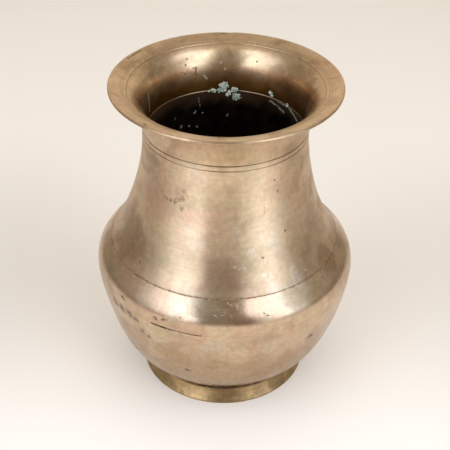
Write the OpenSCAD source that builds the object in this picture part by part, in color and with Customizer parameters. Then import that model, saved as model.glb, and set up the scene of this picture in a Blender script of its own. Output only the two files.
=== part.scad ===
// Lota water pot: a round bellied brass pot with a waisted neck and a wide,
// flaring mouth, standing on a low foot ring.
// Five castings are turned on a lathe and brazed together. Each joint between
// two shells is a rebated lap: the upper shell's thin spigot stands inside the
// lower shell's socket, and a film of braze fills the gap all round.
// Millimetres, +Z up. The origin is the centre of the ring that the foot
// stands on.

/* [Mouth] */
// Height of the lip above the table
height = 210; // [206:0.5:222]
// Radius of the lip's outer edge
lip_r = 70; // [66:0.5:76]
// Thickness of the lip's rounded edge
lip_t = 1.8; // [1.4:0.1:2.4]
// Width of the flat land turned on top of the lip
land_w = 0.8; // [0.4:0.1:1.2]
// Slope of the lip's underside at its edge, in degrees
lip_slope = 9.5; // [4:0.5:16]

/* [Neck] */
// Outside radius of the waist, the narrowest ring of the neck
waist_r = 50.6; // [47:0.2:54]
// Height of the waist
waist_z = 180; // [174:0.5:184]
// Wall thickness at the waist
waist_wall = 2.8; // [2.4:0.1:3.6]
// Height of the neck joint's outer line above the waist
neck_lap = 2.7; // [2:0.1:4]
// Width of the decorative groove below the waist
groove_w = 0.5; // [0.3:0.05:0.8]
// Depth of the decorative groove
groove_d = 0.3; // [0.1:0.05:0.5]
// Distance from the waist down to the decorative groove
groove_drop = 0.7; // [0.5:0.1:3]

/* [Body] */
// Outside radius of the shoulder line, where the belly turns into the neck
shoulder_r = 72.8; // [70:0.2:75]
// Height of the shoulder line
shoulder_z = 104.2; // [100:0.2:110]
// Slope of the wall at the shoulder line, in degrees from level
shoulder_slope = 51; // [46:1:58]
// Largest outside radius of the belly
girth_r = 83; // [80:0.5:88]
// Height of the largest radius
girth_z = 84.4; // [80:0.2:88]
// Outside radius of the knuckle, where the bowl bends in under the belly
knuckle_r = 68.8; // [66:0.2:71]
// Height of the knuckle
knuckle_z = 32; // [29:0.2:36]
// Slope of the wall at the knuckle, in degrees from level
knuckle_slope = 62; // [56:1:68]
// Wall thickness of the belly
belly_wall = 2.4; // [2:0.1:3.2]
// Distance of the girth joint below the largest radius
girth_drop = 1.2; // [0:0.2:4]
// Length of the shoulder and girth laps, measured down the wall
body_lap = 3.2; // [2.4:0.1:5]

/* [Foot] */
// Outside radius of the foot ring at the table
foot_r = 55.1; // [53:0.1:60]
// Outside radius of the seat that the bowl is brazed to
seat_r = 50; // [48:0.5:52]
// Height of the seat's outer edge
seat_z = 11; // [10:0.2:14]
// Slope of the bowl at the seat's outer edge, in degrees from level
seat_slope = 44; // [38:1:48]
// Height of the bowl's flat underside above the table
under_z = 6.5; // [5.6:0.1:8]
// Thickness of the bowl's floor
floor_wall = 3.2; // [2.6:0.1:4]
// Width of the foot's flat standing face
stand_w = 2.4; // [1.6:0.1:3]
// Radius of the rounded edges on either side of the standing face
foot_round = 0.6; // [0.3:0.1:0.9]
// Inward bow of the foot's outer side, measured from a straight cone
foot_bow = 0.5; // [0:0.1:1]

/* [Braze] */
// Thickness of every braze film
film = 0.4; // [0.3:0.05:0.5]
// Depth that the film lies below the outer skin at the neck and shoulder
sunk = 0.3; // [0.1:0.05:0.5]
// Depth that the film lies below the outer skin at the girth
girth_sunk = 0.1; // [0:0.05:0.3]

/* [Hidden] */
$fn = 180;
BRASS = [0.80, 0.70, 0.53];
FOOT_BRASS = [0.66, 0.55, 0.33];
BRAZE = [0.52, 0.45, 0.30];
STEPS = 24; // straight facets along each curve of the profile
LAP_STEPS = 3; // straight facets along a lap
ARC_STEPS = 6; // straight facets along a quarter of a rounded edge

// Underside of the lip where its rounded edge begins
edge_r = lip_r - lip_t / 2 * (1 - sin(lip_slope));
edge_z = height - lip_t / 2 * (1 + cos(lip_slope));

// Stations of the outer profile, from the middle of the floor up to the lip:
// radius, height, heading in degrees, wall, reach back, reach on.
// A reach is the length of the curve's handle over the distance between the
// two stations.
CENTRE = 0;
SEAT = 1;
KNUCKLE = 2;
GIRTH = 3;
SHOULDER = 4;
WAIST = 5;
LIP = 6;
STATIONS = [
    [0, under_z, 0, floor_wall, 0, 0.70],
    [seat_r, seat_z, seat_slope, floor_wall, 0.12, 0.29],
    [knuckle_r, knuckle_z, knuckle_slope, belly_wall, 0.32, 0.34],
    [girth_r, girth_z, 90, belly_wall, 0.13, 0.45],
    [shoulder_r, shoulder_z, 180 - shoulder_slope, belly_wall, 0.47, 0.25],
    [waist_r, waist_z, 90, waist_wall, 0.32, 0.61],
    [edge_r, edge_z, lip_slope, lip_t, 0.36, 0]
];

function heading(a) = [cos(a), sin(a)];
function spot(s) = [s[0], s[1]];

// The four control points of the curve from station k to station k + 1
function handles(k) =
    let (a = STATIONS[k], b = STATIONS[k + 1], gap = norm(spot(b) - spot(a)))
    [spot(a), spot(a) + gap * a[5] * heading(a[2]),
     spot(b) - gap * b[4] * heading(b[2]), spot(b)];

function bezier(p, t) =
    pow(1 - t, 3) * p[0] + 3 * pow(1 - t, 2) * t * p[1]
    + 3 * (1 - t) * t * t * p[2] + pow(t, 3) * p[3];

function speed(p, t) =
    3 * (pow(1 - t, 2) * (p[1] - p[0]) + 2 * (1 - t) * t * (p[2] - p[1])
    + t * t * (p[3] - p[2]));

// A place u on the profile is a station's number plus a fraction of the curve
// that follows it.
function curve_of(u) = min(floor(u), LIP - 1);

function wall_at(u) =
    let (k = curve_of(u), a = STATIONS[k][3], b = STATIONS[k + 1][3])
    a + (b - a) * (u - k);

// The point at place u, a share of the wall in from the outer skin, plus a
// further depth in millimetres
function skin(u, share = 0, extra = 0) =
    let (k = curve_of(u), p = handles(k), v = speed(p, u - k),
         depth = share * wall_at(u) + extra)
    bezier(p, u - k) + depth * [-v[1], v[0]] / norm(v);

// The place that lies a short distance along the profile from place u, on the
// curve that lies that way. The speed is taken half way there.
function along(u, distance) =
    let (k = curve_of(u + sign(distance) / 1000), p = handles(k),
         half = u - k + distance / 2 / norm(speed(p, u - k)))
    u + distance / norm(speed(p, half));

// Points along the profile from one place to another
function run(from, to, share = 0, extra = 0, steps = 0) =
    let (n = steps > 0 ? steps : ceil(abs(to - from) * STEPS))
    [for (i = [0 : n]) skin(from + (to - from) * i / n, share, extra)];

// Points on an arc about a centre, between two angles
function arc(centre, radius, from, to, steps) =
    [for (i = [0 : steps]) centre + radius * heading(from + (to - from) * i / steps)];

// A joint is the place of its outer line, then the place of its inner line
NECK_JOINT = [along(WAIST, neck_lap), WAIST];
SHOULDER_JOINT = [SHOULDER, along(SHOULDER, -body_lap)];
GIRTH_JOINT = [along(GIRTH, -girth_drop), along(GIRTH, -girth_drop - body_lap)];

// Where the bowl sits on the foot, from the inner edge to the outer edge
SADDLE = [SEAT - 0.2, SEAT];

// The socket at the top of the lower shell: up the outer skin, then down
// through the middle of the wall to the inner skin
function socket(joint) =
    let (out = along(joint[0], -film / 2), in = along(joint[1], -film / 2))
    concat([skin(out)], run(out, in, 0.5, -film / 2, LAP_STEPS), [skin(in, 1)]);

// The spigot at the foot of the upper shell: down the inner skin, then up
// through the middle of the wall to the outer skin
function spigot(joint) =
    let (out = along(joint[0], film / 2), in = along(joint[1], film / 2))
    concat([skin(in, 1)], run(in, out, 0.5, film / 2, LAP_STEPS), [skin(out)]);

module turned(outline) {
    rotate_extrude() polygon(outline);
}

// A braze film that follows a lap joint through the wall
module lap_film(joint, depth) {
    out_low = along(joint[0], -film / 2);
    out_high = along(joint[0], film / 2);
    in_low = along(joint[1], -film / 2);
    in_high = along(joint[1], film / 2);
    turned(concat(
        [skin(out_low, 0, depth), skin(out_high, 0, depth)],
        run(out_high, in_high, 0.5, film / 2, LAP_STEPS),
        [skin(in_high, 1), skin(in_low, 1)],
        run(in_low, out_low, 0.5, -film / 2, LAP_STEPS)
    ));
}

// The flared mouth, with its rounded lip and the narrow land on top
module mouth_collar() {
    low_out = along(NECK_JOINT[0], film / 2);
    low_in = along(NECK_JOINT[1], film / 2);
    round = lip_t / 2;
    color(BRASS)
    turned(concat(
        run(low_out, LIP),
        arc([lip_r - round, height - round], round, lip_slope - 90, 90, 2 * ARC_STEPS),
        [[lip_r - round - land_w, height]],
        run(LIP - 1 / STEPS, low_in, 1),
        spigot(NECK_JOINT)
    ));
}

// The waisted neck, from the shoulder line up to the waist, with the
// decorative groove
module neck_shoulder() {
    groove = along(WAIST, -groove_drop);
    color(BRASS)
    turned(concat(
        run(along(SHOULDER_JOINT[0], film / 2), along(groove, -groove_w / 2)),
        [skin(groove, 0, groove_d), skin(along(groove, groove_w / 2))],
        socket(NECK_JOINT),
        run(along(NECK_JOINT[1], -film / 2), along(SHOULDER_JOINT[1], film / 2), 1),
        spigot(SHOULDER_JOINT)
    ));
}

// The band of the belly between the girth and the shoulder line
module belly_band() {
    color(BRASS)
    turned(concat(
        run(along(GIRTH_JOINT[0], film / 2), along(SHOULDER_JOINT[0], -film / 2)),
        socket(SHOULDER_JOINT),
        run(along(SHOULDER_JOINT[1], -film / 2), along(GIRTH_JOINT[1], film / 2), 1),
        spigot(GIRTH_JOINT)
    ));
}

// The lower half of the pot, with its floor
module bowl() {
    color(BRASS)
    turned(concat(
        run(CENTRE, along(GIRTH_JOINT[0], -film / 2)),
        socket(GIRTH_JOINT),
        run(along(GIRTH_JOINT[1], -film / 2), CENTRE, 1)
    ));
}

// The foot ring: its top follows the bowl's underside one film below it
module foot_ring() {
    top_out = skin(SADDLE[1], 0, -film);
    low_out = [foot_r, foot_round];
    stand_out = foot_r - foot_round;
    stand_in = stand_out - stand_w;
    color(FOOT_BRASS)
    turned(concat(
        arc([stand_in, foot_round], foot_round, 180, 270, ARC_STEPS),
        arc([stand_out, foot_round], foot_round, 270, 360, ARC_STEPS),
        [for (i = [1 : STEPS / 2])
            low_out + (top_out - low_out) * i / (STEPS / 2)
            - [foot_bow * sin(180 * i / (STEPS / 2)), 0]],
        run(SADDLE[1], SADDLE[0], 0, -film, LAP_STEPS)
    ));
}

module neck_braze() {
    color(BRAZE) lap_film(NECK_JOINT, sunk);
}

module shoulder_braze() {
    color(BRAZE) lap_film(SHOULDER_JOINT, sunk);
}

module girth_braze() {
    color(BRAZE) lap_film(GIRTH_JOINT, girth_sunk);
}

// The film between the bowl's underside and the top of the foot
module foot_braze() {
    color(BRAZE)
    turned(concat(
        run(SADDLE[0], SADDLE[1], 0, 0, LAP_STEPS),
        run(SADDLE[1], SADDLE[0], 0, -film, LAP_STEPS)
    ));
}

mouth_collar();
neck_shoulder();
belly_band();
bowl();
foot_ring();
neck_braze();
shoulder_braze();
girth_braze();
foot_braze();
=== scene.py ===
"""Lota water pot: the looks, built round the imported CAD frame.

Every casting of the pot is turned again here from the same outer profile as the CAD, finer, with
softened edges, fine turned lines, slight unevenness and wear. Lengths are in millimetres until a mesh
is made, and +Z is up. Azimuth 0 is the side that faces the camera, and positive goes towards +X.
"""

import math

import bmesh
import bpy
import numpy as np
from mathutils import Matrix, Vector, noise


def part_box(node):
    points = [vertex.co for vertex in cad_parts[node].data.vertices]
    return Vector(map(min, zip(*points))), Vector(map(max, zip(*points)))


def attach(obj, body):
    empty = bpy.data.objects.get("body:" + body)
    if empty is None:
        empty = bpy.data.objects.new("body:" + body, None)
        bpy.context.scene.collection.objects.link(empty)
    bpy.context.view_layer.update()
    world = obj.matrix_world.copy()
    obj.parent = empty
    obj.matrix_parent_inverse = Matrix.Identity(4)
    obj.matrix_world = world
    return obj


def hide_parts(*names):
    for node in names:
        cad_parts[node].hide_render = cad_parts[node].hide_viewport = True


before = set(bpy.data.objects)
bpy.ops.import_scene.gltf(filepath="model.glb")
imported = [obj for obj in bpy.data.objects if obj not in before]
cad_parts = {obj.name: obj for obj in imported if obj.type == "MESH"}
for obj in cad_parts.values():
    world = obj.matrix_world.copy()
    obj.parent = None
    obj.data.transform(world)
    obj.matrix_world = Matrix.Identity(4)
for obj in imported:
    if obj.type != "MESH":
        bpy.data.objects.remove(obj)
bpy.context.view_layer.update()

# ---------------------------------------------------------------- sizes

MM = 0.001
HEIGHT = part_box("mouth_collar")[1][2] / MM
LIP_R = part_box("mouth_collar")[1][0] / MM
FOOT_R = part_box("foot_ring")[1][0] / MM
GIRTH_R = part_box("bowl")[1][0] / MM

LIP_T = 1.8  # thickness of the lip's rounded edge
LIP_SLOPE = 9.5  # the slopes are the skin's, in degrees from level
WAIST_R, WAIST_Z, WAIST_WALL = 50.6, 180.0, 2.8
SHOULDER_R, SHOULDER_Z, SHOULDER_SLOPE = 72.8, 104.2, 51
GIRTH_Z = 84.4
GIRTH_DROP = 1.2  # from the widest line down to the girth joint
KNUCKLE_R, KNUCKLE_Z, KNUCKLE_SLOPE = 68.8, 32.0, 62
SEAT_R, SEAT_Z, SEAT_SLOPE = 50.0, 11.0, 44
UNDER_Z = 6.5
BELLY_WALL, FLOOR_WALL = 2.4, 3.2
FILM = 0.4  # thickness of a braze film
SUNK, SHOULDER_SUNK, GIRTH_SUNK = 0.3, 0.14, 0.01  # how deep each film lies below the skin
NECK_LAP, BODY_LAP = 2.7, 3.2
GROOVE_DROP, GROOVE_W, GROOVE_D = 0.7, 0.6, 0.38
LIP_LINES = [(62.4, 0.40, 0.10), (61.1, 0.40, 0.10), (58.8, 0.7, 0.16)]  # radius, width, depth
STAND_W, FOOT_ROUND, FOOT_BOW = 2.4, 0.6, 0.5

COLUMNS = 480  # faces round the pot
STEP = 1.0  # longest face along the profile
SHARP = 50  # smallest angle of an edge that isn't shaded smooth
EDGE_SOFT = 0.18  # chamfer on a casting's edge at a joint
WORN = 0.3  # chamfer on the neck's inner top edge, which shows as a bright line
TIGHT, FINE = 0.02, 0.10  # chamfers at the girth joint, which is filed flush, and at the shoulder joint
CLEAR = FILM / 2 + 2 * EDGE_SOFT  # from a joint's middle to where the plain skin starts


# ---------------------------------------------------------------- profile

CENTRE, SEAT, KNUCKLE, GIRTH, SHOULDER, WAIST, LIP = range(7)
OFF_AXIS = CENTRE + 0.01  # the place where the bowl's middle faces start


def heading(degrees):
    """The direction this many degrees up from level, outwards."""
    return np.array([math.cos(math.radians(degrees)), math.sin(math.radians(degrees))])


def stations():
    """Radius, height, heading, wall, reach back, reach on, as in the CAD."""
    rise = math.sin(math.radians(LIP_SLOPE))
    level = math.cos(math.radians(LIP_SLOPE))
    edge_r = LIP_R - LIP_T / 2 * (1 - rise)
    edge_z = HEIGHT - LIP_T / 2 * (1 + level)
    return [
        (0, UNDER_Z, 0, FLOOR_WALL, 0, 0.70),
        (SEAT_R, SEAT_Z, SEAT_SLOPE, FLOOR_WALL, 0.12, 0.29),
        (KNUCKLE_R, KNUCKLE_Z, KNUCKLE_SLOPE, BELLY_WALL, 0.32, 0.34),
        (GIRTH_R, GIRTH_Z, 90, BELLY_WALL, 0.13, 0.45),
        (SHOULDER_R, SHOULDER_Z, 180 - SHOULDER_SLOPE, BELLY_WALL, 0.47, 0.25),
        (WAIST_R, WAIST_Z, 90, WAIST_WALL, 0.32, 0.61),
        (edge_r, edge_z, LIP_SLOPE, LIP_T, 0.36, 0),
    ]


def control_points(before, after):
    """The four control points of the curve between two stations."""
    start, end = np.array(before[:2], float), np.array(after[:2], float)
    gap = np.linalg.norm(end - start)
    return [
        start,
        start + gap * before[5] * heading(before[2]),
        end - gap * after[4] * heading(after[2]),
        end,
    ]


STATIONS = stations()
CURVES = [control_points(a, b) for a, b in zip(STATIONS, STATIONS[1:])]


def curve_of(u):
    """The curve that place u lies on. A place is a station's number plus a fraction of the next curve."""
    return min(int(u), LIP - 1)


def speed(u):
    """How the skin's point moves as the place u grows."""
    k = curve_of(u)
    p, t = CURVES[k], u - k
    return 3 * ((1 - t) ** 2 * (p[1] - p[0]) + 2 * (1 - t) * t * (p[2] - p[1]) + t * t * (p[3] - p[2]))


def skin(u, share=0.0, extra=0.0):
    """The point at place u, a share of the wall in from the outer skin, plus a further depth."""
    k = curve_of(u)
    p, t = CURVES[k], u - k
    point = (1 - t) ** 3 * p[0] + 3 * (1 - t) ** 2 * t * p[1] + 3 * (1 - t) * t * t * p[2] + t**3 * p[3]
    wall = STATIONS[k][3] + (STATIONS[k + 1][3] - STATIONS[k][3]) * t
    way = speed(u)
    return point + (share * wall + extra) * np.array([-way[1], way[0]]) / np.linalg.norm(way)


def along(u, distance):
    """The place that lies a short distance along the profile from place u."""
    side = u + math.copysign(1e-4, distance)
    half = u + distance / 2 / np.linalg.norm(speed(side))
    return u + distance / np.linalg.norm(speed(half))


def place_at(value, share, axis=0):
    """The place where the skin has this radius (above the waist only), or this height (axis 1)."""
    low, high = (WAIST + 0.05 if axis == 0 else OFF_AXIS), float(LIP)
    for _ in range(40):
        middle = (low + high) / 2
        low, high = (middle, high) if skin(middle, share)[axis] < value else (low, middle)
    return low


NECK_JOINT = (along(WAIST, NECK_LAP), float(WAIST))
SHOULDER_JOINT = (float(SHOULDER), along(SHOULDER, -BODY_LAP))
GIRTH_JOINT = (along(GIRTH, -GIRTH_DROP), along(GIRTH, -GIRTH_DROP - BODY_LAP))
SADDLE = (SEAT - 0.2, float(SEAT))


# ---------------------------------------------------------------- outlines
# An outline is a list of (point, side) that goes round a casting's section, with the metal on its left:
# up the outer skin and down the inner one. side is "out", "in" or "hid" for a face inside a joint.


def run(start, end, share=0.0, extra=0.0, side="out", cuts=(), step=STEP):
    """Points along the skin from place to place, closer together at both ends, with turned cuts."""
    count = 400
    fine = [start + (end - start) * i / count for i in range(count + 1)]
    spots = np.array([skin(u, share, extra) for u in fine])
    length = np.concatenate([[0], np.cumsum(np.linalg.norm(np.diff(spots, axis=0), axis=1))])
    total = length[-1]
    marks = set(np.linspace(0, total, max(2, math.ceil(total / step) + 1)))
    if total > 3 * step:
        marks |= {0.2, 0.5, total - 0.5, total - 0.2}
    way = 1 if end > start else -1
    depth_at = {}
    for place, width, depth in cuts:
        middle = float(np.interp(way * place, [way * u for u in fine], length))
        for part, share_of_depth in ((-0.5, 0), (-0.2, 0.9), (0, 1), (0.2, 0.9), (0.5, 0)):
            depth_at[middle + part * width] = share_of_depth * depth
        marks = {m for m in marks if abs(m - middle) > width * 0.75}
        marks |= {middle - width, middle + width}
    marks |= set(depth_at)
    inward = -1 if share > 0.5 else 1
    points = []
    for mark in sorted(marks):
        u = float(np.interp(mark, length, fine))
        points.append((skin(u, share, extra + inward * depth_at.get(mark, 0)), side))
    return points


def corner(u, share, toward_u, toward_depth, side, soft=EDGE_SOFT):
    """A softened corner: two points, each a little way from the sharp corner."""
    first = skin(along(u, toward_u * soft), share)
    second = skin(u, share, toward_depth * soft)
    return [(first, side), (second, side)]


def socket(joint, soft=EDGE_SOFT, inner_soft=EDGE_SOFT, inner_side="in"):
    """Top of a lower shell: over the outer edge, down the middle of the wall, over the inner edge."""
    out, inner = along(joint[0], -FILM / 2), along(joint[1], -FILM / 2)
    return (
        corner(out, 0, -1, 1, "out", soft)
        + run(out, inner, 0.5, -FILM / 2, "hid")
        + list(reversed(corner(inner, 1, -1, -1, inner_side, inner_soft)))
    )


def spigot(joint, soft=EDGE_SOFT):
    """Foot of an upper shell: over the inner edge, up the middle of the wall, over the outer edge."""
    out, inner = along(joint[0], FILM / 2), along(joint[1], FILM / 2)
    return (
        corner(inner, 1, 1, -1, "in")
        + run(inner, out, 0.5, FILM / 2, "hid")
        + list(reversed(corner(out, 0, 1, 1, "out", soft)))
    )


def arc(centre, radius, start, end, steps, side="out"):
    """Points on an arc, with start and end as headings from its centre."""
    return [
        (np.array(centre) + radius * heading(start + (end - start) * i / steps), side)
        for i in range(steps + 1)
    ]


def shell_between(lower, upper, top, bottom, cuts=()):
    """A shell from one joint up to the next, with its top and bottom ends."""
    return (
        run(along(lower[0], CLEAR), along(upper[0], -CLEAR), cuts=cuts)
        + top
        + run(along(upper[1], -CLEAR - WORN), along(lower[1], CLEAR), 1, side="in", step=3 * STEP)
        + bottom
    )


def collar_outline():
    half = LIP_T / 2
    lines = [(place_at(radius, 1), width, depth) for radius, width, depth in LIP_LINES]
    return (
        run(along(NECK_JOINT[0], CLEAR), LIP)[:-1]
        + arc((LIP_R - half, HEIGHT - half), half, LIP_SLOPE - 90, 90 + LIP_SLOPE, 14)
        + run(LIP, along(NECK_JOINT[1], CLEAR), 1, side="in", cuts=lines)[1:]
        + spigot(NECK_JOINT)
    )


def neck_outline():
    groove = (along(WAIST, -GROOVE_DROP), GROOVE_W, GROOVE_D)
    top = socket(NECK_JOINT, inner_soft=WORN, inner_side="out")
    return shell_between(SHOULDER_JOINT, NECK_JOINT, top, spigot(SHOULDER_JOINT, FINE), [groove])


def band_outline():
    top = socket(SHOULDER_JOINT, FINE)
    return shell_between(GIRTH_JOINT, SHOULDER_JOINT, top, spigot(GIRTH_JOINT, TIGHT))


def bowl_outline():
    return (
        run(OFF_AXIS, along(GIRTH_JOINT[0], -CLEAR))
        + socket(GIRTH_JOINT, TIGHT)
        + run(along(GIRTH_JOINT[1], -CLEAR), OFF_AXIS, 1, side="in", step=3 * STEP)
    )


def foot_outline():
    """The foot ring: a rounded standing face, a side that bows in, and a saddle that the bowl sits in."""
    top_out = skin(SADDLE[1], 0, -FILM)
    stand_out = FOOT_R - FOOT_ROUND
    stand_in = stand_out - STAND_W
    start = np.array([FOOT_R, FOOT_ROUND])
    rise = 12
    side = [
        (start + (top_out - start) * i / rise - [FOOT_BOW * math.sin(math.pi * i / rise), 0], "out")
        for i in range(1, rise)
    ]
    lip = top_out - start
    soft = [(top_out - lip / np.linalg.norm(lip) * s, "out") for s in (0.6, 0.3)]
    return (
        arc((stand_in, FOOT_ROUND), FOOT_ROUND, 180, 270, 6)
        + arc((stand_out, FOOT_ROUND), FOOT_ROUND, 270, 360, 6)
        + side
        + soft
        + [(skin(along(SADDLE[1], -0.3), 0, -FILM - 0.02), "out")]
        + run(along(SADDLE[1], -0.6), SADDLE[0], 0, -FILM, "hid")
    )


def film_outline(joint, depth):
    """A braze film that follows a lap joint through the wall."""
    out_low, out_high = along(joint[0], -FILM / 2), along(joint[0], FILM / 2)
    in_low, in_high = along(joint[1], -FILM / 2), along(joint[1], FILM / 2)
    edge = ((out_low, depth), (joint[0], depth * 0.8), (out_high, depth))
    return (
        [(skin(u, 0, sunk), "out") for u, sunk in edge]
        + run(out_high, in_high, 0.5, FILM / 2, "hid")
        + [(skin(u, 1, -0.05), "in") for u in (in_high, in_low)]
        + run(in_low, out_low, 0.5, -FILM / 2, "hid")
    )


def foot_film_outline():
    """The braze film between the foot and the bowl's underside."""
    top = along(SADDLE[1], -0.5)
    return run(SADDLE[0], top, 0, -FILM, "out") + run(top, SADDLE[0], 0, 0, "out")


# ---------------------------------------------------------------- wear on the shape

CRACK_START, CRACK_END = -31.5, -9.5  # azimuths of the ends of the crack
CRACK_HALF = 0.30  # half of its width
CRACK_DEPTH = 1.0  # how much of the braze is gone from it
CRACK_REACH = 1.2  # how far above and below it the skin moves
SEAM_REACH = 0.9  # the same beside the shoulder joint
CHIP_DEPTH = 0.5  # how far a full chip cuts in
NICK_AZIMUTH, NICK_DEPTH, NICK_HALF = -178.5, 0.45, 2.4  # the nick in the back of the lip
LIP_WEAR = 0.12  # how far the lip's edge is worn in at most
CRACK_Z = skin(GIRTH_JOINT[0])[1]
SEAM_Z = skin(SHOULDER_JOINT[0])[1]


def smooth_step(low, high, x):
    t = min(1.0, max(0.0, (x - low) / (high - low)))
    return t * t * (3 - 2 * t)


def lean(z):
    """How far the pot leans out of true towards +X at each height."""
    heights = [0, 30, 62, 84, 108, 135, 165, 210]
    shifts = [0, 0.3, 0.7, 0.35, -0.55, -0.4, 0, 0]
    return float(np.interp(z, heights, shifts))


def unevenness(x, y, z):
    """How far the skin stands out from true: slow waves, stronger on the bowl, which was hammered."""
    spot = Vector((x, y, z))
    slow = noise.noise(spot / 34)
    quick = noise.noise(spot / 13 + Vector((7, 3, 1)))
    hammered = smooth_step(95, 40, z)
    return 0.10 * slow + 0.03 * quick + hammered * (0.16 * slow + 0.05 * quick)


def round_noise(azimuth, quick, seed=0):
    """Noise that runs round the pot and meets itself at the back; a larger quick gives shorter waves."""
    turn = math.radians(azimuth)
    return noise.noise(Vector((math.sin(turn) * quick, math.cos(turn) * quick, seed)))


def cracked(azimuth):
    """How far the girth joint has opened here, from 0 to about 1. It narrows slowly to the right."""
    left_end = smooth_step(CRACK_START, CRACK_START + 2, azimuth)
    right_end = smooth_step(CRACK_END, CRACK_END - 16, azimuth) ** 0.5
    return left_end * right_end * (0.9 + 0.4 * noise.noise(Vector((azimuth * 0.8, 5, 0))))


def chipped(azimuth):
    """How worn the shoulder joint's edges are here: most on the left of the front."""
    bite = max(0.0, round_noise(azimuth, 19) - 0.05) + max(0.0, round_noise(azimuth, 52) - 0.2)
    return bite * (0.35 + 0.65 * smooth_step(70, -30, azimuth) * smooth_step(-150, -80, azimuth))


def worn(azimuth, radius, z, film):
    """How far wear moves a point of the outer skin: outwards, and up."""
    out, up = 0.0, 0.0
    gap = z - CRACK_Z
    if abs(gap) < CRACK_REACH and radius > GIRTH_R - 1:
        open_here = cracked(azimuth)
        if film:
            out -= CRACK_DEPTH * open_here
        else:
            near = smooth_step(CRACK_REACH, CRACK_HALF, abs(gap))
            up += math.copysign(CRACK_HALF * open_here * near, gap)
            out -= 0.08 * open_here * near
    gap = z - SEAM_Z
    if abs(gap) < SEAM_REACH and abs(radius - SHOULDER_R) < 1.2:
        near = smooth_step(SEAM_REACH, 0.25, abs(gap))
        up += near * 0.16 * round_noise(azimuth, 16, 3)
        out -= near * CHIP_DEPTH * chipped(azimuth)
    if z > HEIGHT - LIP_T and radius > LIP_R - 5:
        aside = (abs(azimuth) - abs(NICK_AZIMUTH)) * math.radians(1) * LIP_R
        away = math.hypot(aside, (radius - LIP_R + 1) * 0.7)
        up -= NICK_DEPTH * smooth_step(NICK_HALF, 0.4, away)
        out -= LIP_WEAR * max(0.0, round_noise(azimuth, 9, 8))
    return out, up


# ---------------------------------------------------------------- meshes


def lathe(name, outline, materials, film=False, closed=True):
    """Faces turned from an outline, which is a closed ring or has its two ends capped at the axis.

    The outside takes the first material, and a face with neither row on the outside takes the second.
    """
    rows = len(outline)
    azimuths = np.linspace(-180, 180, COLUMNS, endpoint=False)
    vertices = []
    for point, side in outline:
        radius, z = float(point[0]), float(point[1])
        calm = smooth_step(4, 14, z) * smooth_step(5, 30, radius)  # the foot and the bowl's middle stay true
        for azimuth in azimuths:
            turn = math.radians(azimuth)
            across, back = math.sin(turn), -math.cos(turn)
            out, up = worn(azimuth, radius, z, film) if side == "out" else (0, 0)
            reach = radius + out + unevenness(radius * across, radius * back, z) * calm
            vertices.append(((reach * across + lean(z)) * MM, reach * back * MM, (z + up) * MM))
    faces, sides = [], []
    for i in range(rows if closed else rows - 1):
        following = (i + 1) % rows
        inside = outline[i][1] != "out" and outline[following][1] != "out"
        for j in range(COLUMNS):
            k = (j + 1) % COLUMNS
            faces.append((i * COLUMNS + j, i * COLUMNS + k, following * COLUMNS + k, following * COLUMNS + j))
            sides.append(1 if inside else 0)
    if not closed:
        last = (rows - 1) * COLUMNS
        for row, middle in ((0, len(vertices)), (last, len(vertices) + 1)):
            vertices.append((0, 0, float(outline[row // COLUMNS][0][1]) * MM))
            for j in range(COLUMNS):
                k = (j + 1) % COLUMNS
                faces.append((middle, row + k, row + j) if row == 0 else (middle, row + j, row + k))
                sides.append(0 if row == 0 else 1)
    return piece_of(name, vertices, faces, materials, sides)


def lap_film(name, joint, depth, material):
    """The braze film of a lap joint, its outer edge this deep below the skin."""
    return lathe(name, film_outline(joint, depth), [material], film=True)


def piece_of(name, vertices, faces, materials, sides):
    """A smooth piece with sharp edges where faces meet at more than SHARP degrees."""
    mesh = bpy.data.meshes.new(name)
    mesh.from_pydata(vertices, [], faces)
    for material in materials:
        mesh.materials.append(material)
    mesh.polygons.foreach_set("material_index", sides if len(materials) > 1 else [0] * len(faces))
    mesh.polygons.foreach_set("use_smooth", [True] * len(faces))
    mesh.set_sharp_from_angle(angle=math.radians(SHARP))
    mesh.update()
    piece = bpy.data.objects.new(name, mesh)
    bpy.context.collection.objects.link(piece)
    return piece


def fit_in(piece, node):
    """The piece stands for a CAD node and rides on the pot."""
    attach(piece, "root")
    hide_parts(node)


def on_pot(azimuth, z, share=0):
    """A point on the outer skin, or on the inner one with share 1, in millimetres."""
    radius = skin(place_at(z, share, 1), share)[0]
    turn = math.radians(azimuth)
    return Vector((radius * math.sin(turn) + lean(z), -radius * math.cos(turn), z))


# ---------------------------------------------------------------- materials


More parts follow.
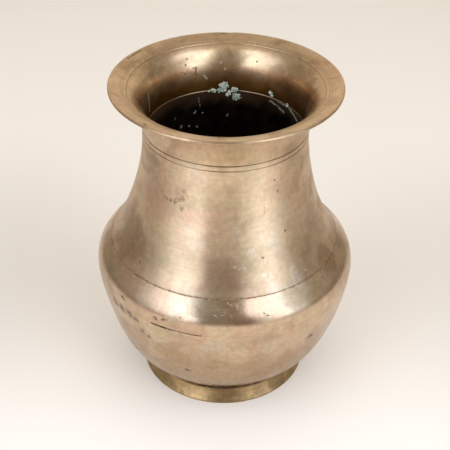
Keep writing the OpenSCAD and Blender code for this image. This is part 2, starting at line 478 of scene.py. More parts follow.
class Graph:
    """Short ways to add nodes to a node tree."""

    def __init__(self, tree):
        self.tree = tree

    def add(self, kind, inputs, out=0, **settings):
        """One output of a new node, whose inputs are linked sockets or plain values."""
        node = self.tree.nodes.new("ShaderNode" + kind)
        for name, setting in settings.items():
            setattr(node, name, setting)
        for key, given in inputs.items():
            if isinstance(given, bpy.types.NodeSocket):
                self.tree.links.new(given, node.inputs[key])
            else:
                node.inputs[key].default_value = given
        return node.outputs[out]

    def math(self, operation, *values):
        return self.add("Math", dict(enumerate(values)), operation=operation)

    def fold(self, operation, values):
        """The operation on the first two values, then on the result and the next, and so on."""
        whole = values[0]
        for value in values[1:]:
            whole = self.math(operation, whole, value)
        return whole

    def plus(self, *values):
        return self.fold("ADD", values)

    def times(self, *values):
        return self.fold("MULTIPLY", values)

    def most(self, *values):
        return self.fold("MAXIMUM", values)

    def gap(self, value, level):
        """How far a value is from a level, above or below."""
        return self.math("ABSOLUTE", self.math("SUBTRACT", value, level))

    def fade(self, value, low, high, to_low=0.0, to_high=1.0):
        """A smooth step of value from low to high."""
        inputs = {0: value, 1: low, 2: high, 3: to_low, 4: to_high}
        return self.add("MapRange", inputs, interpolation_type="SMOOTHSTEP")

    def vector(self, operation, *values):
        return self.add("VectorMath", dict(enumerate(values)), operation=operation)

    def length(self, vector):
        return self.add("VectorMath", {0: vector}, "Value", operation="LENGTH")

    def parts(self, vector):
        return [self.add("SeparateXYZ", {0: vector}, axis) for axis in range(3)]


class Nodes(Graph):
    """One material's nodes. Lengths inside are in millimetres."""

    def __init__(self, name):
        self.material = bpy.data.materials.new(name)
        self.material.use_nodes = True
        super().__init__(self.material.node_tree)
        self.shader = self.tree.nodes["Principled BSDF"]
        place = self.add("TexCoord", {}, "Object")
        self.spot = self.vector("MULTIPLY", place, (1 / MM, 1 / MM, 1 / MM))
        flat = self.vector("MULTIPLY", self.spot, (1, 1, 0))
        self.radius = self.length(flat)
        self.round = self.vector("NORMALIZE", flat)
        self.z = self.add("SeparateXYZ", {0: self.spot}, 2)

    def away(self, point, azimuth, z, share):
        """How far the point is from a place on the pot."""
        return self.length(self.vector("SUBTRACT", point, tuple(on_pot(azimuth, z, share))))

    def noise(self, size, detail=2.0, seed=0.0, warp=0.0, squeeze=(1, 1, 1)):
        """Noise with features of about this size, shorter along an axis that has a larger squeeze."""
        scale = tuple(along_axis / size for along_axis in squeeze)
        moved = self.vector("MULTIPLY_ADD", self.spot, scale, (seed, seed * 0.7, -seed))
        return self.add("TexNoise", {"Vector": moved, "Scale": 1.0, "Detail": detail, "Distortion": warp})

    def turned(self, size, length, detail=2.0, seed=0.0):
        """Fine lines round the pot, each this wide, and long as a share of the way round."""
        level = self.math("MULTIPLY_ADD", self.z, 1 / size, seed)
        ring = self.vector("MULTIPLY", self.round, (1 / length, 1 / length, 0))
        whole = self.vector("ADD", ring, self.add("CombineXYZ", {2: level}))
        inputs = {"Vector": whole, "W": self.times(self.radius, 1 / size), "Scale": 1.0, "Detail": detail}
        return self.add("TexNoise", inputs, noise_dimensions="4D")

    def blend(self, share, first, second, kind="MIX"):
        inputs = {0: share, 6: first, 7: second}
        return self.add("Mix", inputs, 2, data_type="RGBA", blend_type=kind)

    def shade(self, colour, level):
        """The colour times a level."""
        return self.blend(1.0, colour, level, "MULTIPLY")

    def ragged(self, size=0.9, reach=0.55):
        """The point, shaken a little, so that marks get uneven edges."""
        cells = self.vector("MULTIPLY", self.spot, (1 / size, 1 / size, 1 / size))
        shake = self.add("TexNoise", {"Vector": cells, "Scale": 1.0, "Detail": 2.0}, "Color")
        centred = self.vector("SUBTRACT", shake, (0.5, 0.5, 0.5))
        return self.vector("MULTIPLY_ADD", centred, (2 * reach, 2 * reach, 2 * reach), self.spot)

    def stroke(self, point, start, end, half):
        """1 on a line from start to end, fading out at half its width."""
        line = end - start
        gap = self.vector("SUBTRACT", point, tuple(start))
        if line.length > 0.01:
            share = tuple(line / line.length_squared)
            t = self.add("VectorMath", {0: gap, 1: share}, "Value", operation="DOT_PRODUCT")
            t = self.add("Clamp", {0: t})
            back = self.add("VectorMath", {0: tuple(-line), "Scale": t}, operation="SCALE")
            gap = self.vector("ADD", gap, back)
        return self.fade(self.length(gap), half * 1.25, half * 0.45)

    def strokes(self, point, marks, share):
        """The strongest of a list of marks: azimuth, height, azimuth, height, half width."""
        found = [
            self.stroke(point, on_pot(*mark[:2], share), on_pot(*mark[2:4], share), mark[4]) for mark in marks
        ]
        return self.most(*found)

    def pits(self, size, largest, density, patches, share):
        """Small pits, thicker inside patches: azimuth, height, radius, how thick."""
        cells = self.vector("MULTIPLY", self.spot, (1 / size, 1 / size, 1 / size))
        chance = self.add("TexVoronoi", {"Vector": cells, "Scale": 1.0}, "Color")
        from_middle = chance.node.outputs["Distance"]
        pick = self.add("SeparateColor", {0: chance}, 0)
        thick = density
        for azimuth, z, reach, more in patches:
            away = self.away(self.spot, azimuth, z, share)
            thick = self.most(self.fade(away, reach * 1.15, reach * 0.5, 0.0, more), thick)
        chosen = self.math("LESS_THAN", pick, thick)
        wide = self.math("MULTIPLY_ADD", pick.node.outputs[1], largest * 0.8, largest * 0.2)
        depth = self.math("SUBTRACT", 1.0, self.math("DIVIDE", from_middle, wide))
        return self.times(chosen, self.fade(depth, 0.0, 0.45))

    def specks(self, size, patches, share):
        """Fine broken stain inside patches: azimuth, height, radius."""
        point = self.ragged(4.0, 1.6)
        near = 0.0
        for azimuth, z, reach in patches:
            away = self.away(point, azimuth, z, share)
            near = self.most(self.fade(away, reach * 1.2, reach * 0.2), near)
        grain = self.noise(size, 3.0, squeeze=(0.6, 0.6, 1.4))
        grain = self.math("MULTIPLY_ADD", near, 0.20, grain)
        return self.times(self.fade(grain, 0.60, 0.68), self.fade(near, 0.0, 0.2))

    def clouds(self, colour, clouds, share):
        """Soft patches of tarnish, and a painted highlight on the lip's front: azimuth, height, radius,
        strength, colour.
        """
        point = self.ragged(14.0, 9.0)
        for azimuth, z, reach, strength, tone in clouds:
            away = self.away(point, azimuth, z, share)
            colour = self.blend(self.fade(away, reach * 1.06, reach * 0.74, 0.0, strength), colour, tone)
        return colour

    def set(self, colour, roughness, height=None, depth=0.05, metallic=1.0):
        """The finished material, with its height, if it has one, as bumps this deep."""
        self.tree.links.new(colour, self.shader.inputs["Base Color"])
        self.tree.links.new(roughness, self.shader.inputs["Roughness"])
        self.shader.inputs["Metallic"].default_value = metallic
        if height is not None:
            bump = self.add("Bump", {"Strength": 1.0, "Distance": depth * MM, "Height": height})
            self.tree.links.new(bump, self.shader.inputs["Normal"])
        return self.material

    def brushed(self, amount):
        """Reflections blur across the turning lines, up and down the pot."""
        self.shader.inputs["Anisotropic"].default_value = amount
        self.shader.inputs["Anisotropic Rotation"].default_value = 0.25
        tangent = self.add("Tangent", {}, direction_type="RADIAL", axis="Z")
        self.tree.links.new(tangent, self.shader.inputs["Tangent"])


TAN = (0.60, 0.455, 0.305, 1)
PINK = (0.55, 0.385, 0.265, 1)
OLIVE = (0.49, 0.395, 0.245, 1)
BROWN = (0.31, 0.20, 0.12, 1)
GREY = (0.55, 0.465, 0.355, 1)
TARNISH = (0.365, 0.24, 0.125, 1)
PIT = (0.05, 0.026, 0.02, 1)
PALE = (0.82, 0.76, 0.66, 1)
SPECK = (0.17, 0.085, 0.07, 1)
RUST = (0.055, 0.016, 0.010, 1)


def patchy(n, patch, mottle, lines, streaks):
    """Brass that has gone pink, olive and grey in patches, and darker low down and under the lip."""
    colour = n.blend(n.fade(n.noise(34, 3, 1.0, 0.5), 0.42, 0.58), TAN, PINK)
    colour = n.blend(n.fade(patch, 0.50, 0.62, 0.0, 0.5), colour, OLIVE)
    colour = n.blend(n.fade(n.noise(22, 3, 14.0, 0.2), 0.52, 0.64, 0.0, 0.5), colour, GREY)
    tarnished = n.most(n.fade(n.z, 80, 30, 0.0, 0.76), n.fade(n.z, 178, 188, 0.0, 0.34))
    colour = n.clouds(n.blend(tarnished, colour, TARNISH), CLOUDS, 0)
    level = n.times(
        n.fade(lines, 0.25, 0.75, 0.955, 1.035),
        n.fade(streaks, 0.3, 0.7, 0.965, 1.035),
        n.fade(n.z, 119, 138, 1.0, 1.24),  # the neck is cleaner than the shoulder
        n.fade(n.z, 184, 176, 0.92, 1.0),
        n.fade(n.turned(4.0, 0.9, 2.0, 3.0), 0.3, 0.7, 0.97, 1.03),
        n.fade(mottle, 0.28, 0.72, 0.92, 1.07),
    )
    return n.shade(colour, level)


def line_grime_and_shade(n):
    """How much grime and painted shade lie along the shoulder joint, the neck joint and the groove under it.
    """
    shaken = n.plus(n.z, n.plus(n.noise(2.5, 2, 30.0), -0.5))
    seam = n.fade(n.gap(shaken, float(SEAM_Z)), 0.8, 0.2)
    grime = n.times(seam, n.fade(n.turned(9, 0.25, 2, 8.0), 0.42, 0.6, 0.1, 0.7))
    for line in (NECK_JOINT[0], along(WAIST, -GROOVE_DROP)):
        grime = n.most(grime, n.fade(n.gap(n.z, float(skin(line)[1])), 0.55, 0.2, 0.0, 0.7))
    return grime


def skin_brass(name, brushed, rough_low, rough_high):
    """The outside: turned, polished long ago, and patchy since."""
    n = Nodes(name)
    n.brushed(brushed)
    patch = n.noise(15, 4, 5.0, 0.3)
    mottle = n.noise(3.2, 3, 9.0)
    lines = n.turned(0.55, 0.35, 2.0)
    streaks = n.noise(1, squeeze=(1.1, 1.1, 0.12))
    stain = n.times(n.fade(n.noise(19, 5, 21.0, 0.4), 0.53, 0.70), n.fade(mottle, 0.3, 0.6, 0.45, 0.85))
    point = n.ragged()
    rust = n.strokes(point, RUST_MARKS, 0)
    specks = n.specks(0.75, SPECK_PATCHES, 0)
    pits = n.most(n.strokes(point, DARK_MARKS, 0), n.pits(1.7, 0.40, 0.004, PIT_PATCHES, 0))
    pale = n.most(n.strokes(n.ragged(0.8, 0.6), PALE_MARKS, 0), n.pits(1.9, 0.28, 0.012, SCUFF_PATCHES, 0))
    colour = patchy(n, patch, mottle, lines, streaks)
    colour = n.blend(n.times(stain, 0.55), colour, BROWN)
    # Brown along the joints and the groove: grime, and painted shade in these recesses.
    colour = n.blend(line_grime_and_shade(n), colour, BROWN)
    colour = n.blend(rust, colour, RUST)
    colour = n.blend(n.times(specks, n.fade(n.z, 110, 140, 0.85, 0.5)), colour, SPECK)
    colour = n.blend(n.times(pits, 0.88), colour, PIT)
    colour = n.blend(n.times(pale, 0.75), colour, PALE)
    hollow = n.most(pits, n.times(specks, 0.5))
    rough = n.fade(patch, 0.35, 0.70, rough_low, rough_high)
    rough = n.plus(rough, n.times(n.most(hollow, pale, rust), 0.25), n.times(stain, 0.08))
    bumps = n.strokes(n.ragged(3.0, 1.0), BUMPS, 0)
    height = n.math("MULTIPLY_ADD", lines, 0.12, n.times(hollow, -1.0))
    height = n.plus(height, n.times(streaks, 0.3), n.times(bumps, 0.8), n.times(mottle, 0.15))
    return n.set(colour, rough, height, 0.06)


FLARE_TAN = (0.60, 0.44, 0.275, 1)
FLARE_PINK = (0.55, 0.375, 0.24, 1)
FLARE_OLIVE = (0.50, 0.375, 0.235, 1)
FLARE_BROWN = (0.31, 0.21, 0.12, 1)
RING_GRIME = (0.30, 0.20, 0.11, 1)
EDGE_GRIME = (0.22, 0.14, 0.08, 1)
DEEP_BROWN = (0.235, 0.105, 0.022, 1)
FLARE_PIT = (0.06, 0.045, 0.03, 1)
SCRATCH = (0.66, 0.62, 0.50, 1)


def lip_grime(n, colour):
    """Grime in the lip's turned rings, and here and there along its edge."""
    ring = 0.0
    for radius, width, _ in LIP_LINES:
        ring = n.most(n.fade(n.gap(n.radius, radius), width * 0.75, width * 0.2, 0.0, 0.55), ring)
    colour = n.blend(n.times(ring, n.fade(n.z, 203, 206)), colour, RING_GRIME)
    edge = n.times(n.fade(n.radius, LIP_R - 1.6, LIP_R - 0.2), n.fade(n.turned(30, 0.3, 3, 12.0), 0.45, 0.62))
    return n.blend(n.times(edge, 0.7), colour, EDGE_GRIME)


def flare_brass():
    """The flared mouth's upper face: smoother, with rings on the lip and grime towards the neck."""
    n = Nodes("brass_flare")
    n.brushed(0.5)
    patch = n.noise(9, 4, 47.0, 0.8)
    mottle = n.noise(2.6, 3, 52.0)
    lines = n.turned(0.5, 0.35, 2.0, 5.0)
    stain = n.times(n.fade(n.noise(11, 5, 57.0, 1.0), 0.54, 0.68), n.fade(mottle, 0.3, 0.6, 0.5, 0.9))
    deep = n.fade(n.plus(n.z, n.times(patch, 6.0)), 202, 186)
    hollow = n.most(
        n.strokes(n.ragged(), FLARE_PITS + LIP_DARK, 1),
        n.pits(1.6, 0.36, 0.006, FLARE_PIT_PATCHES, 1),
    )
    pale = n.strokes(n.ragged(0.7, 0.35), FLARE_PALE, 1)
    colour = n.blend(n.fade(n.noise(26, 3, 41.0, 0.6), 0.40, 0.62), FLARE_TAN, FLARE_PINK)
    colour = n.blend(n.fade(patch, 0.50, 0.68, 0.0, 0.7), colour, FLARE_OLIVE)
    level = n.times(n.fade(lines, 0.25, 0.75, 0.92, 1.07), n.fade(mottle, 0.28, 0.72, 0.92, 1.06))
    colour = n.shade(colour, level)
    colour = n.blend(n.times(stain, 0.55), colour, FLARE_BROWN)
    colour = lip_grime(n, colour)
    # The clouds hold tarnish, and a painted highlight on the front of the lip.
    colour = n.clouds(colour, FLARE_CLOUDS, 1)
    colour = n.blend(deep, colour, DEEP_BROWN)
    colour = n.blend(n.times(hollow, 0.75), colour, FLARE_PIT)
    colour = n.blend(n.times(pale, 0.5), colour, SCRATCH)
    rough = n.plus(
        n.fade(n.radius, 54, 61, 0.27, 0.33),
        n.fade(patch, 0.35, 0.70, -0.02, 0.05),
        n.times(n.most(hollow, pale), 0.25),
        n.times(deep, 0.16),
    )
    height = n.math("MULTIPLY_ADD", lines, 0.2, n.times(hollow, -1.0))
    height = n.plus(height, n.times(mottle, 0.10))
    return n.set(colour, rough, height, 0.05)


def dark_oxide():
    """The inside: brown-black, with pale crusted streaks near the top."""
    black, brown_black = (0.003, 0.0012, 0.0006, 1), (0.011, 0.005, 0.0022, 1)
    top_brown, crust_green = (0.075, 0.040, 0.020, 1), (0.36, 0.40, 0.33, 1)
    n = Nodes("dark_oxide")
    cloud = n.noise(9, 4, 61.0)
    near_top = n.fade(n.plus(n.z, n.times(cloud, 12.0)), 172, 186)
    crust = n.times(n.strokes(n.ragged(1.6, 1.3), INNER_PALE, 1), n.fade(n.noise(1.3, 3, 66.0), 0.34, 0.50))
    colour = n.blend(n.fade(cloud, 0.40, 0.65), black, brown_black)
    colour = n.blend(n.times(near_top, 0.7), colour, top_brown)
    colour = n.blend(crust, colour, crust_green)
    n.shader.inputs["Specular IOR Level"].default_value = 0.15
    return n.set(colour, n.fade(cloud, 0.3, 0.7, 0.48, 0.66), cloud, 0.3, metallic=0.4)


def foot_brass():
    """The foot: a yellower casting, turned more roughly and never polished, with a painted shadow along its
    top under the bowl.
    """
    yellow, olive, grime_and_shadow_brown = (0.42, 0.28, 0.135, 1), (0.29, 0.195, 0.095, 1), (0.06, 0.035, 0.02, 1)
    n = Nodes("foot_brass")
    n.brushed(0.4)
    slow = n.noise(16, 4, 71.0, 0.8)
    mottle = n.noise(2.4, 4, 77.0)
    lines = n.turned(0.6, 0.3, 3.0, 9.0)
    # Painted shadow: the top of the foot, under the bowl's overhang, is darkened, with some grime in the
    # joint.
    grime = n.times(n.fade(n.z, 8.2, 9.8), n.fade(mottle, 0.3, 0.6, 0.7, 1.0))
    level = n.times(n.fade(lines, 0.25, 0.75, 0.82, 1.12), n.fade(mottle, 0.28, 0.72, 0.85, 1.10))
    colour = n.shade(n.blend(n.fade(slow, 0.40, 0.62), yellow, olive), level)
    colour = n.blend(grime, colour, grime_and_shadow_brown)
    height = n.math("MULTIPLY_ADD", lines, 0.5, mottle)
    return n.set(colour, n.fade(slow, 0.3, 0.7, 0.34, 0.46), height, 0.05)


def braze(name, dark, light):
    """Braze metal in a joint, dulled by grime."""
    n = Nodes(name)
    cloud = n.noise(2.2, 3, 83.0)
    colour = n.blend(n.fade(cloud, 0.35, 0.65), dark, light)
    return n.set(colour, n.fade(cloud, 0.3, 0.7, 0.45, 0.62), cloud, 0.1)


def verdigris_crust():
    """Dull green corrosion, paler and yellower in places."""
    green, pale_green, buff = (0.20, 0.275, 0.215, 1), (0.47, 0.53, 0.43, 1), (0.60, 0.58, 0.46, 1)
    n = Nodes("verdigris")
    cloud = n.noise(1.5, 4, 91.0)
    colour = n.blend(n.fade(cloud, 0.35, 0.62), green, pale_green)
    colour = n.blend(n.fade(n.noise(3, 2, 95.0), 0.55, 0.7), colour, buff)
    return n.set(colour, n.fade(cloud, 0.3, 0.7, 0.85, 0.95), cloud, 0.4, metallic=0.0)


# Marks and bumps are lines: azimuth and height of the start, then of the end, and half of the width.
# Patches of pits hold azimuth, height, radius and how thick; specks azimuth, height and radius; and
# clouds azimuth, height, radius, strength and colour.
DARK_MARKS = [
    (34, 168.7, 34.3, 169.1, 0.50),
    (36, 160.5, 36.1, 161.6, 0.35),
    (36, 161.5, 36.8, 161.9, 0.35),
    (39, 135, 39.1, 135.3, 0.70),
    (26, 164, 25.5, 150, 0.12),
    (-27, 170, -27.5, 149, 0.10),
    (-49.6, 90.0, -48.4, 89.4, 0.75),
    (-47.6, 89.5, -47.2, 89.2, 0.45),
    (17.6, 96.6, 17.9, 96.2, 0.40),
    (18.8, 95.2, 19.4, 94.9, 0.45),
    (4, 101.8, 4.3, 101.3, 0.28),
    (1, 91.5, 2.2, 91.2, 0.25),
    (-26.5, 91.5, -26, 90.7, 0.25),
    (-18.6, 46, -16, 44.5, 0.4),
    (-41, 85, -36, 84.6, 0.16),
    (-58, 83.5, -51, 83, 0.2),
    (-48.5, 111, -48, 110.4, 0.45),
]
RUST_MARKS = [
    (CRACK_START - 0.5, CRACK_Z, -23, CRACK_Z, 0.72),
    (-23, CRACK_Z, CRACK_END, CRACK_Z, 0.50),
]
BUMPS = [
    (4.5, 100.8, 5, 100.6, 2.4),
    (8, 30, 9, 68, 3.0),  # this and the next are soft ridges down the bowl
    (-35.5, 40, -36.5, 68, 3.0),
]
PALE_MARKS = [
    (5.4, 120.9, 6.8, 120.0, 0.32),
    (8.2, 119.4, 9.6, 120.2, 0.34),
    (10.8, 120.3, 12.2, 119.2, 0.34),
    (-4.5, 117, -3.2, 116.5, 0.26),
    (22, 115.5, 23, 114, 0.34),
    (25, 113, 25.6, 112, 0.28),
    (50, 119, 50.6, 118.2, 0.36),
    (37, 113.2, 37.3, 111, 0.32),
    (40, 107, 47, 108.5, 0.22),
    (42, 111, 49, 106, 0.16),
    (52, 101.5, 60, 104.5, 0.16),
    (2, 102.6, 3.4, 101.6, 0.24),
    (-4, 97.2, -3, 96.6, 0.24),
    (10, 98.6, 10.4, 100, 0.26),
    (14, 96.6, 24, 96.2, 0.14),
    (-66, 96, -48, 93.5, 0.12),
]
PIT_PATCHES = [(-52, 80, 9, 0.14), (-37, 69, 4, 0.20), (-27, 88.5, 4, 0.16), (19, 96, 3, 0.14)]
SPECK_PATCHES = [
    (-40, 154.5, 2.0),
    (-36.5, 154.5, 2.2),
    (-33, 154.5, 2.0),
    (-31, 157, 2.2),
    (-27.5, 152, 2.0),
    (-27.5, 158, 2.0),
    (-27.5, 163, 1.8),
    (-55, 80, 5.0),
    (-50, 79.5, 5.0),
    (-45, 80, 4.0),
    (-41, 79, 3.0),
    (-38.5, 70.5, 3.4),
    (-35, 68, 2.6),
    (-30, 88.3, 2.2),
    (-26, 89, 2.2),
    (-18, 45, 2.4),
    (0, 98.5, 2.2),
    (4, 97, 1.8),
    (42, 64, 3.5),
    (22, 124, 1.5),
]
SCUFF_PATCHES = [
    (8, 119, 7, 0.16),
    (0, 100, 6, 0.18),
    (38, 112, 12, 0.14),
    (50, 97, 14, 0.12),
    (20, 122, 8, 0.08),
]

BROWN_CLOUD = (0.37, 0.235, 0.13, 1)
PINK_CLOUD = (0.46, 0.31, 0.225, 1)
OLIVE_CLOUD = (0.40, 0.28, 0.15, 1)
RED_CLOUD = (0.40, 0.25, 0.17, 1)
PALE_CLOUD = (0.78, 0.67, 0.57, 1)
GOLD_CLOUD = (0.74, 0.58, 0.41, 1)
CLOUDS = [
    (-50, 192, 13, 0.55, GOLD_CLOUD),
    (-72, 188, 11, 0.40, GOLD_CLOUD),
    (22, 114, 4, 0.40, PALE_CLOUD),
    (40, 109, 6, 0.30, PALE_CLOUD),
    (17, 128, 5, 0.25, PALE_CLOUD),
    (-62, 117, 17, 0.55, BROWN_CLOUD),
    (-80, 128, 14, 0.55, PINK_CLOUD),
    (-52, 158, 12, 0.40, PINK_CLOUD),
    (62, 106, 11, 0.50, BROWN_CLOUD),
    (56, 95, 10, 0.30, PINK_CLOUD),
    (80, 104, 9, 0.40, BROWN_CLOUD),
    (-68, 95, 10, 0.35, PINK_CLOUD),
    (0, 117, 11, 0.30, PINK_CLOUD),
    (-27, 61, 9, 0.65, OLIVE_CLOUD),
    (-21, 54, 9, 0.60, OLIVE_CLOUD),
    (-46, 60, 14, 0.45, BROWN_CLOUD),
    (-20, 190.5, 10, 0.22, OLIVE_CLOUD),
    (-4, 190.5, 10, 0.28, OLIVE_CLOUD),
    (12, 190.5, 10, 0.32, OLIVE_CLOUD),
    (28, 190.5, 9, 0.22, OLIVE_CLOUD),
    (64, 133, 9, 0.40, PINK_CLOUD),
    (2, 136, 8, 0.30, PINK_CLOUD),
    (-4, 57, 8, 0.50, OLIVE_CLOUD),
    (14, 56, 10, 0.35, OLIVE_CLOUD),
    (44, 64, 9, 0.55, PINK_CLOUD),
    (30, 50, 10, 0.60, BROWN_CLOUD),
    (18, 42, 9, 0.45, BROWN_CLOUD),
    (120, 110, 20, 0.45, BROWN_CLOUD),
    (-140, 130, 22, 0.40, OLIVE_CLOUD),
    (175, 95, 20, 0.40, PINK_CLOUD),
    (-120, 60, 18, 0.45, BROWN_CLOUD),
]
FLARE_CLOUDS = [
    # These two lighter clouds on the front of the lip are a painted highlight.
    (-14, 209.8, 13, 0.50, GOLD_CLOUD),
    (12, 209.8, 13, 0.50, GOLD_CLOUD),
    (140, 196, 9, 0.60, RED_CLOUD),
    (160, 190, 8, 0.50, RED_CLOUD),
    (-166, 189, 7, 0.40, RED_CLOUD),
    (-118, 199, 5, 0.50, RED_CLOUD),
    (122, 201, 8, 0.40, BROWN_CLOUD),
    (-172, 199, 6, 0.40, OLIVE_CLOUD),
    (104, 195, 12, 0.85, BROWN_CLOUD),
    (122, 192, 9, 0.60, BROWN_CLOUD),
    (-112, 209.2, 6, 0.45, BROWN_CLOUD),
    (-130, 209.6, 5, 0.45, BROWN_CLOUD),
    (147, 209.3, 3, 0.40, BROWN_CLOUD),
]
FLARE_PITS = [
    (-152, 202, -152, 201.4, 0.5),
    (-150, 199, -149.6, 198.4, 0.6),
    (-146, 195, -146, 194.6, 0.5),
    (-148, 194, -148, 193.4, 0.55),
    (-157, 195.5, -156.6, 192.5, 0.5),
    (-155, 196, -158, 196, 0.35),
    (-156, 189.5, -156, 188.8, 0.45),
    (158, 200, 158, 199.5, 0.45),
]
FLARE_PIT_PATCHES = [(-150, 198, 9, 0.10)]
LIP_DARK = [
    (-178.5, 209.85, -177.5, 209.9, 0.9),
    (-128, 209.75, -116, 209.8, 0.5),
    (-104.5, 209.4, -108.5, 209.0, 0.22),
    (-120, 209.3, -115, 209.6, 0.22),
    (-42, 209.7, -40, 209.8, 0.6),
    (-116, 209.1, -108, 208.7, 0.16),
]
FLARE_PALE = [
    (-130, 204, -122, 197, 0.30),
    (-106, 195, -103, 184, 0.8),
    (-163, 190.5, -165, 188, 0.7),
    (-176, 198, -176, 197.5, 0.8),
    (-179, 194, -179, 193.5, 0.7),
]
INNER_PALE = [
    (144, 177, 130, 173, 0.8),
    (137, 179, 123, 178.3, 0.9),
    (123, 178.3, 112, 174, 1.1),
    (-156, 165.5, -155, 164, 0.9),
    (-162, 163.5, -162, 163, 0.7),
    (-145, 156, -144, 155, 0.9),
    (-152, 154.5, -152, 154, 0.8),
    (-158, 153, -158.5, 152, 0.6),
    (179, 160.5, 179, 159.5, 0.8),
    (-138, 165, -138, 164, 0.5),
    (-158, 176, -160, 167, 0.3),
]

NECK_BRASS = skin_brass("brass_neck", 0.85, 0.34, 0.42)
BELLY_BRASS = skin_brass("brass_belly", 0.55, 0.21, 0.30)
FLARE = flare_brass()
OXIDE = dark_oxide()
FOOT_BRASS = foot_brass()
BRAZE = braze("braze", (0.12, 0.07, 0.037, 1), (0.22, 0.14, 0.075, 1))
LIGHT_BRAZE = braze("braze_light", (0.20, 0.13, 0.075, 1), (0.46, 0.335, 0.21, 1))

fit_in(lathe("collar", collar_outline(), [NECK_BRASS, FLARE]), "mouth_collar")
fit_in(lathe("neck", neck_outline(), [NECK_BRASS, OXIDE]), "neck_shoulder")
fit_in(lathe("band", band_outline(), [BELLY_BRASS, OXIDE]), "belly_band")
fit_in(lathe("bowl_body", bowl_outline(), [BELLY_BRASS, OXIDE], closed=False), "bowl")
fit_in(lathe("foot", foot_outline(), [FOOT_BRASS]), "foot_ring")
fit_in(lap_film("neck_film", NECK_JOINT, SUNK, BRAZE), "neck_braze")
fit_in(lap_film("shoulder_film", SHOULDER_JOINT, SHOULDER_SUNK, LIGHT_BRAZE), "shoulder_braze")
fit_in(lap_film("girth_film", GIRTH_JOINT, GIRTH_SUNK, BELLY_BRASS), "girth_braze")
fit_in(lathe("foot_film", foot_film_outline(), [BRAZE], film=True), "foot_braze")


def verdigris():
    """Crusts of green corrosion on the neck's inner joint, each a heap of small lumps."""
    patches = [  # azimuth, height, half width, half height
        (-178, 182.3, 2.9, 2.8),
        (-176, 179.2, 2.4, 1.6),
        (-170, 179.6, 2.2, 1.3),
        (173.5, 180, 2.6, 1.8),
        (172, 175.2, 2.4, 2.6),
        (178, 177, 1.6, 1.8),
        (144, 182.8, 1.8, 1.1),
        (142.5, 181.2, 1.0, 0.8),
        (126, 179.8, 1.2, 1.0),
    ]
    neck_r = 48  # radius of the neck's inside
    shape = bmesh.new()
    draw = np.random.default_rng(5)
    for azimuth, z, half_w, half_h in patches:
        for _ in range(int(10 * half_w * half_h) + 5):
            across, rise = draw.normal(0, 0.45, 2)
            size = draw.uniform(0.25, 0.75)
            spot = on_pot(azimuth + math.degrees(across * half_w / neck_r), z + rise * half_h, 1)
            lump = bmesh.ops.create_icosphere(shape, subdivisions=2, radius=size * MM)
            shift = Vector(draw.uniform(0, 50, 3))
            for vertex in lump["verts"]:
                point = vertex.co / MM
                bulge = 1 + 0.5 * noise.noise(point * 1.6 + shift)
                vertex.co = (point * bulge + spot) * MM
    mesh = bpy.data.meshes.new("verdigris")
    shape.to_mesh(mesh)
    shape.free()
    mesh.materials.append(verdigris_crust())
    mesh.polygons.foreach_set("use_smooth", [True] * len(mesh.polygons))
    piece = bpy.data.objects.new("verdigris", mesh)
    bpy.context.collection.objects.link(piece)
    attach(piece, "root")


verdigris()


# ---------------------------------------------------------------- floor, light, camera

FLOOR_HALF = 4.0  # half of the floor's width, in metres
POT_MIDDLE = 0.12  # the height that the lights face, in metres
COOL, WARM, AMBER = (0.86, 0.97, 1.14), (1.0, 0.96, 0.90), (1.0, 0.88, 0.72)  # softboxes, fills, room
SOFTBOX = (32, 1.2, (2.2, 2.0))  # elevation, distance and size of both softboxes
LENS, SENSOR = 80, 36  # the camera's focal length and its sensor's width
PITCH, ROLL = 35.42, 0.67  # how far the camera looks down, and how far it is turned, in degrees
EYE = (0.00026, -0.52883, 0.48264)  # the camera's place, in metres


def oval(n, x, y, half_wide, half_deep):
    """How far a point of the floor is from the middle of an oval, where 1 is on its edge."""
    from_middle = n.vector("SUBTRACT", n.spot, (x, y, 0))
    return n.length(n.vector("MULTIPLY", from_middle, (1 / half_wide, 1 / half_deep, 0)))


def floor():
    """A pale table whose colour paints a pool of light round the pot that darkens far from it, and painted
    shadows a little on both sides of it.
    """
    near, far = (0.88, 0.825, 0.765, 1), (0.32, 0.275, 0.22, 1)
    n = Nodes("floor_paper")
    away = oval(n, 0, 150, 330, 760)
    # Painted pool of light: pale near the pot, fading to dark far from it.
    colour = n.blend(n.fade(away, 0.92, 1.9), near, far)
    # Painted shadows: the colour is dimmed in an oval on each side of the pot.
    for side, darkest in ((-1, 0.79), (1, 0.84)):
        colour = n.shade(colour, n.fade(oval(n, side * 230, 60, 170, 220), 0.1, 1.2, darkest, 1.0))
    half = FLOOR_HALF
    corners = [(-half, -half, 0), (half, -half, 0), (half, half, 0), (-half, half, 0)]
    mesh = bpy.data.meshes.new("floor")
    mesh.from_pydata(corners, [], [(0, 1, 2, 3)])
    mesh.materials.append(n.set(colour, n.fade(away, 0, 1, 0.84, 0.86), metallic=0.0))
    plane = bpy.data.objects.new("floor", mesh)
    bpy.context.collection.objects.link(plane)


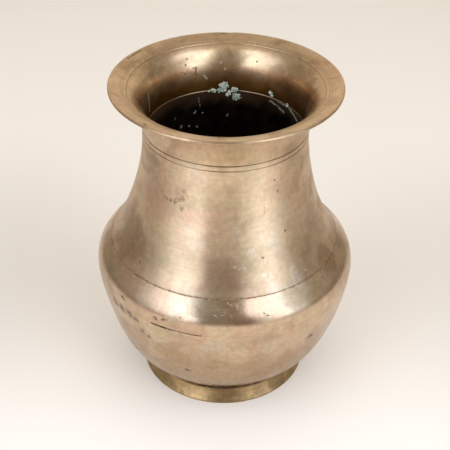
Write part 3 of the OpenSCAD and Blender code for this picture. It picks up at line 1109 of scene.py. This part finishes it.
def softbox_glow(tree, inner, outer, soft, stop):
    """How bright a softbox is at each place on it, by that place's azimuth and its rise, in degrees.

    Inner holds the azimuths of its inner side low down and high up, and soft is how wide that side is
    low down. Outer is how far round it starts to fade and ends low down, and it reaches further as it
    rises. Stop is how far round most of its middle height is cut off.
    """
    g = Graph(tree)
    place = g.add("NewGeometry", {}, "Position")
    across, back, up = g.parts(place)
    turn = g.math("ARCTAN2", across, g.times(back, -1.0))
    turn = g.times(turn, math.degrees(1))
    from_axis = g.length(g.vector("MULTIPLY", place, (1, 1, 0)))
    rise = g.math("ARCTAN2", g.math("SUBTRACT", up, POT_MIDDLE), from_axis)
    rise = g.times(rise, math.degrees(1))
    way = math.copysign(1, inner[0])
    inside = g.math("SUBTRACT", turn, g.fade(rise, 14, 35, *inner))
    inside = g.math("DIVIDE", inside, g.fade(rise, 18, 34, way * soft, way * 1.5))
    outward = g.times(turn, way)
    outside = g.math("SUBTRACT", outward, g.fade(rise, 5, 60, 0.0, 24.0))
    past = g.fade(outward, stop - 1.5, stop + 1.5, 0.0, 0.7)
    past = g.times(past, g.times(g.fade(rise, 5, 20), g.fade(rise, 52, 42)))
    return g.times(
        g.fade(inside, -1.0, 1.0),
        g.math("SUBTRACT", 1.0, past),
        g.fade(outside, *outer, 1.0, 0.05),
        g.fade(rise, -6, 3),
        g.fade(rise, 78, 60),
    )


def panel(name, azimuth, elevation, distance, size, radiance, cool=False):
    """A flat light that faces the pot's middle: a cool softbox, or a warm fill, which isn't reflected."""
    light = bpy.data.lights.new(name, "AREA")
    light.shape = "RECTANGLE"
    width, height = size
    light.size, light.size_y = width, height
    light.energy = radiance * math.pi * width * height
    light.color = COOL if cool else WARM
    a, e = math.radians(azimuth), math.radians(elevation)
    spot = Vector((math.sin(a) * math.cos(e), -math.cos(a) * math.cos(e), math.sin(e))) * distance
    lamp = bpy.data.objects.new(name, light)
    lamp.location = spot + Vector((0, 0, POT_MIDDLE))
    lamp.rotation_euler = (-spot).to_track_quat("-Z", "Y").to_euler()
    lamp.visible_glossy = cool
    bpy.context.collection.objects.link(lamp)
    return light


def softbox(name, azimuth, radiance, inner, outer, soft=2, stop=90):
    """A large softbox beside the camera, whose brightness softbox_glow sets."""
    light = panel(name, azimuth, *SOFTBOX, radiance, cool=True)
    light.use_nodes = True
    tree = light.node_tree
    tree.links.new(softbox_glow(tree, inner, outer, soft, stop), tree.nodes["Emission"].inputs["Strength"])


def room():
    """Soft light from all round: a pale wall behind the pot, a pale ceiling, darker sides."""
    world = bpy.data.worlds.new("room")
    world.use_nodes = True
    tree = world.node_tree
    g = Graph(tree)
    across, back, up = g.parts(g.add("TexCoord", {}, "Generated"))
    level = g.plus(
        g.fade(back, 0.3, 1.0, 0.34, 1.02),
        g.fade(up, 0.80, 1.0, 0.0, 0.40),
        g.fade(g.math("ABSOLUTE", across), 0.5, 0.9, 0.0, 0.10),
    )
    level = g.times(level, g.fade(up, 0.0, 0.30, 0.70, 1.0))
    tree.links.new(level, tree.nodes["Background"].inputs["Strength"])
    tree.nodes["Background"].inputs["Color"].default_value = (*AMBER, 1)
    bpy.context.scene.world = world


def camera():
    """The camera in front of the pot, looking down at it."""
    data = bpy.data.cameras.new("camera")
    data.lens = LENS
    data.sensor_width = SENSOR
    pitch, roll = math.radians(PITCH), math.radians(ROLL)
    forward = Vector((0, math.cos(pitch), -math.sin(pitch)))
    right = Vector((1, 0, 0))
    up = right.cross(forward)
    tilted_right = math.cos(roll) * right + math.sin(roll) * up
    tilted_up = -math.sin(roll) * right + math.cos(roll) * up
    turn = Matrix((tilted_right, tilted_up, -forward)).transposed()
    eye = bpy.data.objects.new("camera", data)
    eye.matrix_world = Matrix.Translation(EYE) @ turn.to_4x4()
    bpy.context.collection.objects.link(eye)
    bpy.context.scene.camera = eye


floor()
softbox("softbox_left", -60, 2.5, inner=(-20.5, -28), outer=(28, 80))
softbox("softbox_right", 60, 2.6, inner=(34, 21), outer=(50, 78), soft=13, stop=55)
panel("overhead", 180, 70, 1.5, (1.3, 1.3), 0.62)
panel("fill_front", 0, 35, 1.1, (1.0, 0.7), 1.4)
panel("fill_left", -88, 16, 1.1, (0.8, 0.5), 0.1)
panel("fill_right", 88, 16, 1.1, (0.8, 0.5), 0.7)
room()
camera()
bpy.context.scene.view_settings.view_transform = "Standard"
